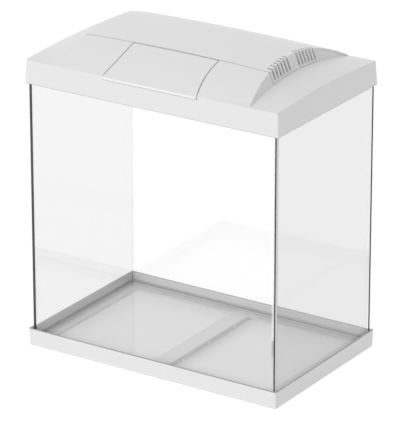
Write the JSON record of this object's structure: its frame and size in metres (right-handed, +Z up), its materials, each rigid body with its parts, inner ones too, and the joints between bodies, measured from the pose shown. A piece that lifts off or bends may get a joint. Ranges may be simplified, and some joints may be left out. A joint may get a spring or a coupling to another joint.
{
  "type": "glass aquarium",
  "caption": "Small rectangular glass aquarium in a shallow white base tray, with a lift-off domed hood that has end vents, a front feeding flap and a lamp.",
  "frame": {"origin": "middle of the base tray's underside", "axes": "+X along the tank, -Y towards the front with the feeding flap, +Z up"},
  "size_m": [0.4016, 0.255, 0.4526],
  "materials": {
    "tray_plastic": "satin moulded white",
    "hood_plastic": "satin moulded white",
    "cover_plastic": "satin moulded white",
    "flap_plastic": "satin moulded white",
    "pane_glass": "clear float glass",
    "clear_silicone": "clear silicone",
    "pin_steel": "drawn",
    "screw_steel": "zinc plated",
    "lamp_aluminium": "satin anodised",
    "lamp_cap_plastic": "satin",
    "board_coating": "white solder mask",
    "chip_phosphor": "resin",
    "lens_plastic": "frosted clear",
    "seal_rubber": "matte",
    "inlet_plastic": "matte",
    "lead_sheath": "matte"
  },
  "bodies": {
    "tank": {"base_tray": "tray_plastic", "front_pane": "pane_glass", "back_pane": "pane_glass", "left_pane": "pane_glass", "right_pane": "pane_glass", "bottom_pane": "pane_glass", "bottom_seal": "clear_silicone", "front_left_seal": "clear_silicone", "front_right_seal": "clear_silicone", "back_left_seal": "clear_silicone", "back_right_seal": "clear_silicone"},
    "hood": {"hood_frame": "hood_plastic", "top_cover": "cover_plastic", "left_hinge_pin": "pin_steel", "right_hinge_pin": "pin_steel", "cover_screws": "screw_steel", "lamp_screws": "screw_steel", "lamp_housing": "lamp_aluminium", "left_lamp_cap": "lamp_cap_plastic", "right_lamp_cap": "lamp_cap_plastic", "light_board": "board_coating", "light_chips": "chip_phosphor", "lamp_lens": "lens_plastic", "lens_seal": "seal_rubber", "power_inlet": "inlet_plastic", "inlet_nut": "screw_steel", "lamp_lead": "lead_sheath"},
    "flap": {"feeding_flap": "flap_plastic"}
  },
  "joints": [
    {"name": "hood_lift", "type": "slide", "parent": "tank", "child": "hood", "axis": [0, 0, 1], "range_m": [0, 0.12]},
    {"name": "flap_hinge", "type": "hinge", "parent": "hood", "child": "flap", "pos_m": [0, -0.06225, 0.44073], "axis": [-1, 0, 0], "range_deg": [0, 105]}
  ]
}
